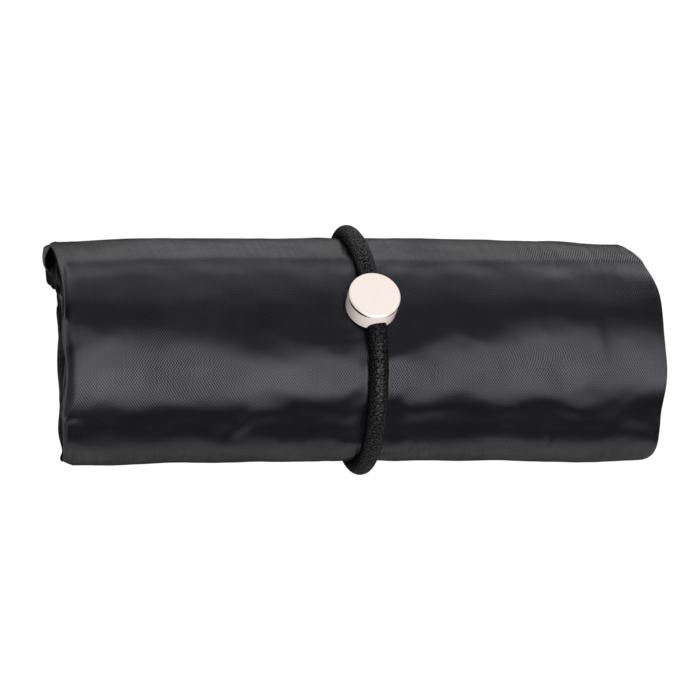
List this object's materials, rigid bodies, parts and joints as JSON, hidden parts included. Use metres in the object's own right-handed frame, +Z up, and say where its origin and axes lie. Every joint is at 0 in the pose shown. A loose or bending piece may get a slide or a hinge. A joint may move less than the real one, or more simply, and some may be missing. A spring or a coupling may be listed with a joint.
{
  "type": "film changing bag",
  "caption": "Light-tight cloth bag, folded and rolled into a cylinder, held by a braided elastic cord that runs through a metal bead.",
  "frame": {"origin": "on the surface that the roll stands on, under the middle of the roll, where the band touches it", "axes": "+X along the roll's axis towards its folded end, away from its sewn end; +Y towards the side where the outer zip lies; +Z up"},
  "size_m": [0.166, 0.0708, 0.0726],
  "materials": {
    "shell_nylon": "fine woven nylon with a satin sheen",
    "lining_nylon": "matt coated nylon",
    "binding_tape": "ribbed woven tape",
    "cuff_elastic": "gathered woven elastic",
    "zip_tape": "herringbone woven tape",
    "zip_coil": "nylon coil",
    "zip_metal": "black enamel",
    "cord_core": "bundled rubber strands",
    "cord_braid": "tight round braid",
    "rose_metal": "polished pale rose gold plating"
  },
  "bodies": {
    "roll": {"outer_front_panel": "shell_nylon", "outer_back_panel": "shell_nylon", "inner_front_panel": "lining_nylon", "inner_back_panel": "lining_nylon", "left_seam_binding": "binding_tape", "right_seam_binding": "binding_tape", "left_sleeve": "shell_nylon", "right_sleeve": "shell_nylon", "left_cuff_elastic": "cuff_elastic", "right_cuff_elastic": "cuff_elastic", "outer_zip_front_tape": "zip_tape", "outer_zip_back_tape": "zip_tape", "outer_zip_front_coil": "zip_coil", "outer_zip_back_coil": "zip_coil", "outer_zip_stops": "zip_metal", "inner_zip_front_tape": "zip_tape", "inner_zip_back_tape": "zip_tape", "inner_zip_front_coil": "zip_coil", "inner_zip_back_coil": "zip_coil", "inner_zip_slider": "zip_metal", "inner_zip_pull": "zip_metal"},
    "zip_slider": {"outer_zip_slider": "zip_metal"},
    "zip_pull": {"outer_zip_pull": "zip_metal"},
    "band": {"band_core": "cord_core", "band_cover": "cord_braid", "band_joint_sleeve": "cord_core"},
    "bead": {"bead": "rose_metal"}
  },
  "joints": [
    {"name": "band_slide", "type": "slide", "parent": "roll", "child": "band", "axis": [1, 0, 0], "range_m": [0, 0.095]},
    {"name": "bead_slide", "type": "hinge", "parent": "band", "child": "bead", "pos_m": [0, 0, 0.03505], "axis": [0.9989, 0.0471, 0], "range_deg": [-48, 102]},
    {"name": "zip_slide", "type": "slide", "parent": "roll", "child": "zip_slider", "axis": [1, 0, 0], "range_m": [0, 0.05]},
    {"name": "zip_pull_hinge", "type": "hinge", "parent": "zip_slider", "child": "zip_pull", "pos_m": [-0.0749, 0.02652, 0.01815], "axis": [0, 0.5373, 0.8434], "range_deg": [0, 180]}
  ]
}
